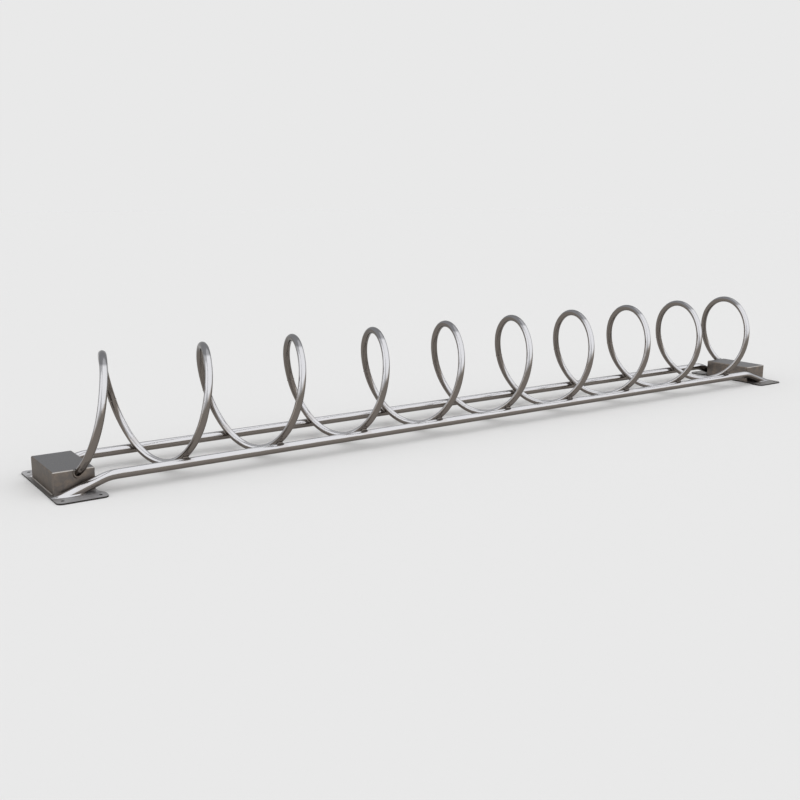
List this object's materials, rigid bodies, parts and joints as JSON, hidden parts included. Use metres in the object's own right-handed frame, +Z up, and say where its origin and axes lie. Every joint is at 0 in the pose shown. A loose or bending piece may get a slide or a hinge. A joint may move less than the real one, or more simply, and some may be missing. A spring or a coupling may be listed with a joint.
{
  "type": "spiral bike rack",
  "caption": "Low floor-mounted bicycle rack: a long tube spiral lying on its side, welded between two rails that bend down to bolted base plates with end boxes.",
  "frame": {"origin": "on the floor, in the middle of the rack's length and depth", "axes": "+X along the rack towards the right end, +Y to the back, +Z up"},
  "size_m": [3.06, 0.372, 0.3633],
  "materials": {
    "tube": "polished stainless tube",
    "sheet": "satin stainless sheet",
    "weld": "ground weld bead"
  },
  "bodies": {
    "root": {"spiral_start": "tube", "spiral_turn_1": "tube", "spiral_turn_2": "tube", "spiral_turn_3": "tube", "spiral_turn_4": "tube", "spiral_turn_5": "tube", "spiral_turn_6": "tube", "spiral_turn_7": "tube", "spiral_turn_8": "tube", "spiral_turn_9": "tube", "spiral_end": "tube", "front_rail": "tube", "back_rail": "tube", "left_base_plate": "sheet", "right_base_plate": "sheet", "left_box": "sheet", "right_box": "sheet", "front_rail_welds": "weld", "back_rail_welds": "weld", "spiral_seam_welds": "weld", "foot_welds": "weld", "box_welds": "weld", "entry_welds": "weld"}
  },
  "joints": []
}
